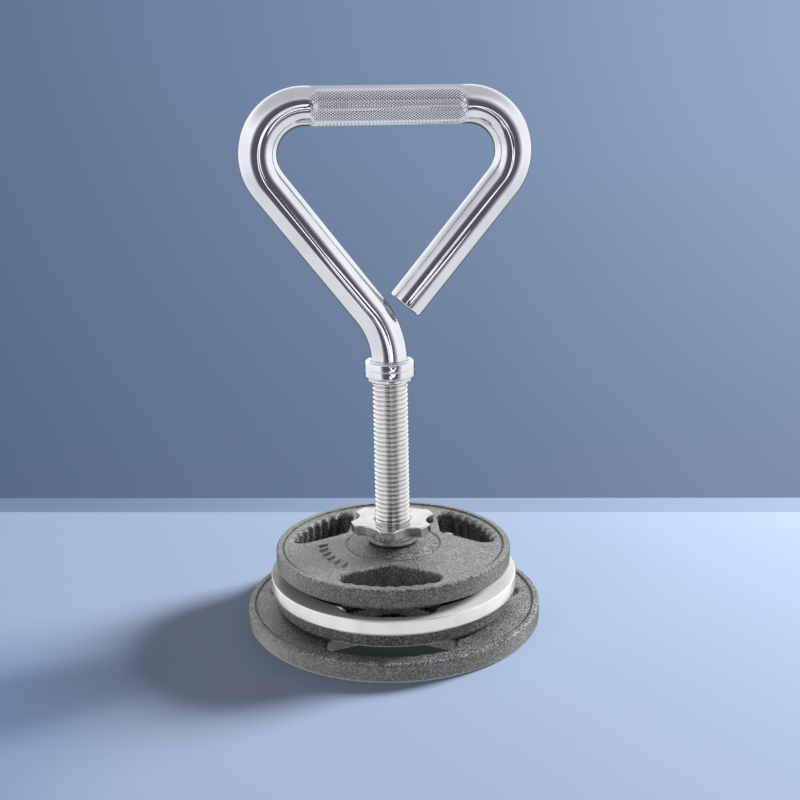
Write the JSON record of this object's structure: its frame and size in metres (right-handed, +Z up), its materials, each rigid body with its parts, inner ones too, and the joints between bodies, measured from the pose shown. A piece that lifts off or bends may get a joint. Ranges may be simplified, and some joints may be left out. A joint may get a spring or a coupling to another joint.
{
  "type": "kettlebell with adjustable plates",
  "caption": "Adjustable kettlebell: a bent bar handle on a threaded stem, with a star nut that clamps a stack of round weight plates.",
  "frame": {"origin": "on the ground, under the axis of the stem", "axes": "+Z up along the stem, +X along the grip towards the side with the bar's free end, +Y away from the picture's camera"},
  "size_m": [0.2096, 0.2096, 0.3697],
  "materials": {
    "chrome": "bright chrome plate, knurled on the grip",
    "thread": "chromed rolled thread",
    "nut_chrome": "chrome plate over a cast body",
    "polished": "satin chrome plate on cast iron",
    "hammertone": "grey hammertone enamel on cast iron",
    "steel": "zinc plated steel",
    "rubber": "matt black rubber"
  },
  "bodies": {
    "root": {"handle_bar": "chrome", "collar_ring": "chrome", "threaded_stem": "thread", "top_plate": "hammertone", "bright_plate": "polished", "thin_plate": "hammertone", "base_plate": "hammertone"},
    "nut_seal": {"nut_seal_ring": "rubber"},
    "nut": {"star_nut": "nut_chrome"},
    "pad": {"flange_pad": "rubber"},
    "flange": {"base_flange": "steel"},
    "washer": {"end_washer": "steel"},
    "screw": {"end_screw": "steel"}
  },
  "joints": [
    {"name": "nut_travel", "type": "slide", "parent": "root", "child": "nut_seal", "axis": [0, 0, 1], "range_m": [0, 0.101]},
    {"name": "nut_spin", "type": "hinge", "parent": "nut_seal", "child": "nut", "pos_m": [0, 0, 0.0577], "axis": [0, 0, 1], "range_deg": [0, 11160]},
    {"name": "flange_travel", "type": "slide", "parent": "root", "child": "pad", "axis": [0, 0, 1], "range_m": [-0.0049, 0]},
    {"name": "flange_spin", "type": "hinge", "parent": "pad", "child": "flange", "pos_m": [0, 0, 0.0084], "axis": [0, 0, 1], "range_deg": [-540, 0]},
    {"name": "screw_travel", "type": "slide", "parent": "flange", "child": "washer", "axis": [0, 0, 1], "range_m": [-0.015, 0]},
    {"name": "screw_spin", "type": "hinge", "parent": "washer", "child": "screw", "pos_m": [0, 0, 0.0012], "axis": [0, 0, 1], "range_deg": [-5436, 0]}
  ],
  "couplings": [
    {"joint": "nut_travel", "follows": "nut_spin", "m_per_rad": 0.00051725},
    {"joint": "flange_travel", "follows": "flange_spin", "m_per_rad": 0.00051725},
    {"joint": "screw_spin", "follows": "screw_travel", "rad_per_m": 6283.2}
  ]
}
